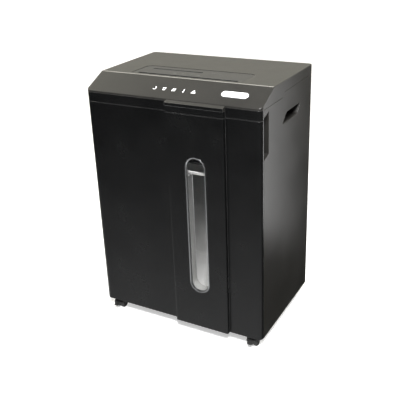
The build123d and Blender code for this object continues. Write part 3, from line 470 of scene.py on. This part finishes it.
def draw_care(bm, size):
    left, right, top = [(size * x, size * y) for x, y in ((-0.46, -0.4), (0.46, -0.4), (0, 0.44))]
    for first, last in ((left, right), (right, top), (top, left)):
        ink_bar(bm, first, last, size * 0.14)
    ink_bar(bm, (0, -size * 0.24), (0, size * 0.12), size * 0.15)


ink_white = glossy("ink_white", (0.80, 0.80, 0.80), (0.90, 0.90, 0.90), (0.35, 0.5))
smoked = glossy("smoked", (0.012, 0.012, 0.012), (0.02, 0.02, 0.02), (0.12, 0.25))
mark_rise, mark_size = 0.028, 0.0095


def print_mark(draw, size, place, name, ink):
    """One printed sign at its place on the machine."""
    bm = bmesh.new()
    draw(bm, size)
    bmesh.ops.transform(bm, matrix=place, verts=bm.verts)
    new_piece(bm, name, "cabinet", ink)


for number, draw in enumerate((draw_turn_back, draw_bin, draw_sheets, draw_heat, draw_care)):
    low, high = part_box(f"indicator_lens_{number + 1}")
    place = to_panel @ Matrix.Translation(((low.x + high.x) / 2, mark_rise, ink_height / 2))
    print_mark(draw, mark_size, place, f"panel_mark_{number + 1}", ink_white)
    finish(f"indicator_lens_{number + 1}", smoked)


# ---------------------------------------------------------------- feed marks
# Small signs printed in grey between the slots: sheets, an arrow, a bin, care, a card and
# a disc.
feed_recess = 0.0006
feed_face = lid_top - feed_recess
feed_sign_size = 0.0075
sheet_row, card_row = front_y + 0.093, front_y + 0.116


def draw_card(bm, size):
    for y in (-0.28, 0.28):
        ink_bar(bm, (-size * 0.45, size * y), (size * 0.45, size * y), size * 0.1)
    for x in (-0.42, 0.42):
        ink_bar(bm, (size * x, -size * 0.3), (size * x, size * 0.3), size * 0.1)
    ink_bar(bm, (-size * 0.4, size * 0.1), (size * 0.4, size * 0.1), size * 0.12)


def draw_disc(bm, size):
    ink_arc(bm, (0, 0), size * 0.4, 0, 2 * math.pi, size * 0.1)
    ink_arc(bm, (0, 0), size * 0.13, 0, 2 * math.pi, size * 0.08)


def draw_arrow(bm, size):
    ink_bar(bm, (0, size * 0.45), (0, -size * 0.3), size * 0.12)
    for side in (-1, 1):
        ink_bar(bm, (0, -size * 0.42), (size * 0.26 * side, -size * 0.1), size * 0.12)


feed_signs = ((draw_sheets, -0.036, sheet_row), (draw_arrow, -0.018, sheet_row),
              (draw_bin, 0.0, sheet_row), (draw_care, 0.018, sheet_row),
              (draw_card, 0.040, card_row), (draw_disc, 0.054, card_row))
ink_faint = glossy("ink_faint", (0.07, 0.07, 0.068), (0.10, 0.10, 0.097), (0.35, 0.5))
for number, (draw, x, y) in enumerate(feed_signs):
    place = Matrix.Translation((x, y, feed_face + ink_height / 2))
    print_mark(draw, feed_sign_size, place, f"feed_mark_{number + 1}", ink_faint)


# ---------------------------------------------------------------- power key
# A pill-shaped key in gloss white, slightly domed, that sinks into its black guide ring.
key_white = glossy("key_white", (0.86, 0.86, 0.86), (0.93, 0.93, 0.93), (0.18, 0.30), coat=0.3)
softened("power_key", "power_pill", "power_key", 0.0003, key_white)


# ---------------------------------------------------------------- window frame and lens
# The frame is a bright plated ring with two steps; the lens is a clear plate snapped into
# it from behind, sealed by a thin dark gasket.
bezel_low, bezel_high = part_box("window_bezel")
window_middle = (bezel_low + bezel_high) / 2
window_half = (bezel_high.x - bezel_low.x) / 2
straight_half = (bezel_high.z - bezel_low.z) / 2 - window_half


def move_ring(ring, inset, y):
    """Set a loop of vertices on the window's outline, a little way in, at one depth."""
    for vertex in ring:
        rise = vertex.co.z - window_middle.z
        lift = math.copysign(straight_half, rise) if abs(rise) > 1e-5 else 0.0
        centre = Vector((window_middle.x, 0, window_middle.z + lift))
        out = Vector((vertex.co.x - centre.x, 0, vertex.co.z - centre.z)).normalized()
        vertex.co = centre + out * (window_half - inset) + Vector((0, y, 0))


def pill_tube(section, name, body, material):
    """Ring with the given section: pairs of inset and depth, closed on itself."""
    bm = bmesh.new()
    place = Matrix.Translation(window_middle) @ Matrix.Rotation(math.radians(90), 4, "X")
    ring = bmesh.ops.create_circle(bm, segments=64, radius=window_half, matrix=place)["verts"]
    for vertex in ring:
        rise = vertex.co.z - window_middle.z
        vertex.co.z += math.copysign(straight_half, rise) if abs(rise) > 1e-5 else 0.0
    move_ring(ring, *section[0])
    edges = list(bm.edges)
    for inset, y in section[1:] + section[:1]:
        made = bmesh.ops.extrude_edge_only(bm, edges=edges)["geom"]
        ring = {item for item in made if isinstance(item, bmesh.types.BMVert)}
        sides = [item for item in made if isinstance(item, bmesh.types.BMEdge)]
        edges = [edge for edge in sides if set(edge.verts) <= ring]
        move_ring(ring, inset, y)
    return new_piece(bm, name, body, material, smooth=30.0)


def plated(name, tone, rough):
    """Bare or plated metal, a little duller in places, with fine rub marks."""
    dull = [part * 0.9 for part in tone]
    material, shader, skin = drifting(name, dull, tone, rough, 1800.0, 0.04)
    shader.inputs["Metallic"].default_value = 1.0
    return material


def clear_plate(name):
    """Clear plastic: mostly see-through, with a sharp reflection and light haze."""
    material, tree, shader, skin = new_finish(name, 900.0)
    mottle = skin.outputs["Mottle"]
    colour = blend_colour(tree, mottle, (0.05, 0.053, 0.057), (0.08, 0.084, 0.088))
    tree.links.new(colour, shader.inputs["Base Color"])
    tree.links.new(between(tree, mottle, 0.0, 1.0, 0.01, 0.03), shader.inputs["Alpha"])
    shader.inputs["Roughness"].default_value = 0.08
    return material


plating = plated("plating", (0.82, 0.83, 0.84), (0.10, 0.22))
front_face, back_face = bezel_low.y, bezel_high.y
rim = 0.003
section = ((0.0003, front_face + 0.0008), (0.0005, front_face + 0.0001), (0.0009, front_face),
           (0.0013, front_face + 0.0001), (0.0015, front_face + 0.0009),
           (0.0019, front_face + 0.0009), (0.0022, front_face + 0.0002),
           (0.0026, front_face + 0.0004), (rim, front_face + 0.0016), (rim, back_face),
           (0.0003, back_face))
bezel = pill_tube(section, "window_frame", "bin", plating)
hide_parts("window_bezel")
gasket_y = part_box("window_lens")[0].y
gasket_out, gasket_in, gasket_thick = rim - 0.0002, rim + 0.0009, 0.0009
section = ((gasket_out, gasket_y - gasket_thick), (gasket_in, gasket_y - gasket_thick),
           (gasket_in, gasket_y), (gasket_out, gasket_y))
pill_tube(section, "window_gasket", "bin", trim_black)
finish("window_lens", clear_plate("lens_clear"))


# ---------------------------------------------------------------- bin tub
# A thin polypropylene tub, pale grey inside and mid grey outside. Behind the window the sleeve runs
# from dark at the window's top to pale towards its foot: painted shade at the top and painted light
# below, standing for the light that falls in through the window.
tub_rough, tub_grain = (0.45, 0.6), 700.0
tub_light = moulded("tub_light", (0.56, 0.56, 0.55), (0.64, 0.64, 0.63), (0.75, 0.75, 0.75),
                    tub_rough, grain_size=tub_grain, dust=0.0)
tub_outside = moulded("tub_outside", (0.20, 0.20, 0.198), (0.25, 0.25, 0.247),
                      (0.34, 0.34, 0.335), tub_rough, grain_size=tub_grain)
sleeve_grey = moulded("sleeve_grey", (0.03, 0.031, 0.033), (0.045, 0.046, 0.048),
                      (0.08, 0.08, 0.08), tub_rough, dust=0.0)
tree = sleeve_grey.node_tree
colour_input = tree.nodes["Principled BSDF"].inputs["Base Color"]
clean_colour = colour_input.links[0].from_socket
place = tree.nodes.new("ShaderNodeTexCoord").outputs["Object"]
rise = add_node(tree, "ShaderNodeSeparateXYZ", {0: place}).outputs["Z"]
# Painted light and shade: the sleeve's tone is set by height, dark at the window's top and pale at
# its foot.
window_light_rise = between(tree, rise, bezel_low.z, bezel_high.z, 1.0, 0.0)
painted_light_gradient = blend_colour(tree, window_light_rise, (0.03, 0.03, 0.03), (0.30, 0.30, 0.29))
gradient_cover = 0.75
tree.links.new(blend_colour(tree, gradient_cover, clean_colour, painted_light_gradient), colour_input)
tub = softened("bin_tub", "tub", "bin", 0.0005, tub_light)
tub.data.materials.append(sleeve_grey)
tub.data.materials.append(tub_outside)
tub_low, tub_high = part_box("bin_tub")
tub_middle = (tub_low + tub_high) / 2
sleeve_back = tub_low.y + 0.0145
for face in tub.data.polygons:
    out = face.center - tub_middle
    in_window = abs(face.center.x - window_middle.x) < window_half
    if face.center.y < sleeve_back and in_window:
        face.material_index = 1
    elif face.normal.x * out.x + face.normal.y * out.y > 0.01 or face.normal.z < -0.5:
        face.material_index = 2


# ---------------------------------------------------------------- casters
# Twin-wheel casters: black nylon forks and hoods, slate wheels on a steel axle, and a toe
# lever on the front pair.
nylon = moulded("nylon", (0.012, 0.012, 0.012), (0.02, 0.02, 0.02), (0.07, 0.07, 0.07),
                (0.35, 0.5))
tread = moulded("tread", (0.02, 0.02, 0.021), (0.032, 0.032, 0.033), (0.08, 0.08, 0.08),
                (0.5, 0.65), grain_size=1500.0, bump=0.3)
for corner in ("front_left", "front_right", "rear_left", "rear_right"):
    softened(f"{corner}_caster_fork", f"{corner}_hood", f"{corner}_caster", 0.0003,
             nylon)
    softened(f"{corner}_caster_wheels", f"{corner}_twin_wheels", f"{corner}_wheels", 0.0002,
             tread)
    if corner.startswith("front"):
        softened(f"{corner}_brake_pedal", f"{corner}_toe_lever", f"{corner}_brake", 0.0002,
                 nylon)


# ---------------------------------------------------------------- inner machinery and back fittings
# Ground steel cutters and gears in a zinc plated frame with bronze bushes, the painted
# motor, the board, and the inlet and rocker switch at the back.
steel = plated("ground_steel", (0.52, 0.52, 0.53), (0.25, 0.40))
zinc = plated("zinc_plate", (0.62, 0.62, 0.60), (0.32, 0.48))
bronze = plated("bronze", (0.62, 0.42, 0.22), (0.30, 0.45))
motor_grey = glossy("motor_grey", (0.20, 0.20, 0.21), (0.26, 0.26, 0.27), (0.35, 0.5))
board_green = glossy("board_green", (0.02, 0.12, 0.05), (0.03, 0.17, 0.07), (0.2, 0.35), coat=0.4)
inlet_black = glossy("inlet_black", (0.010, 0.010, 0.010), (0.018, 0.018, 0.018), (0.25, 0.4))
slot_finishes = {
    "cutter_steel": steel, "gear_steel": steel, "frame_steel": zinc, "bush_bronze": bronze,
    "motor_can": motor_grey, "board_green": board_green, "inlet_black": inlet_black,
    "comb_plastic": nylon, "base_black": trim_black,
}
for part in frame["record"]["subparts"]:
    if part["material_slot"] in slot_finishes and part["node"] != "rear_panel":
        finish(part["node"], slot_finishes[part["material_slot"]])
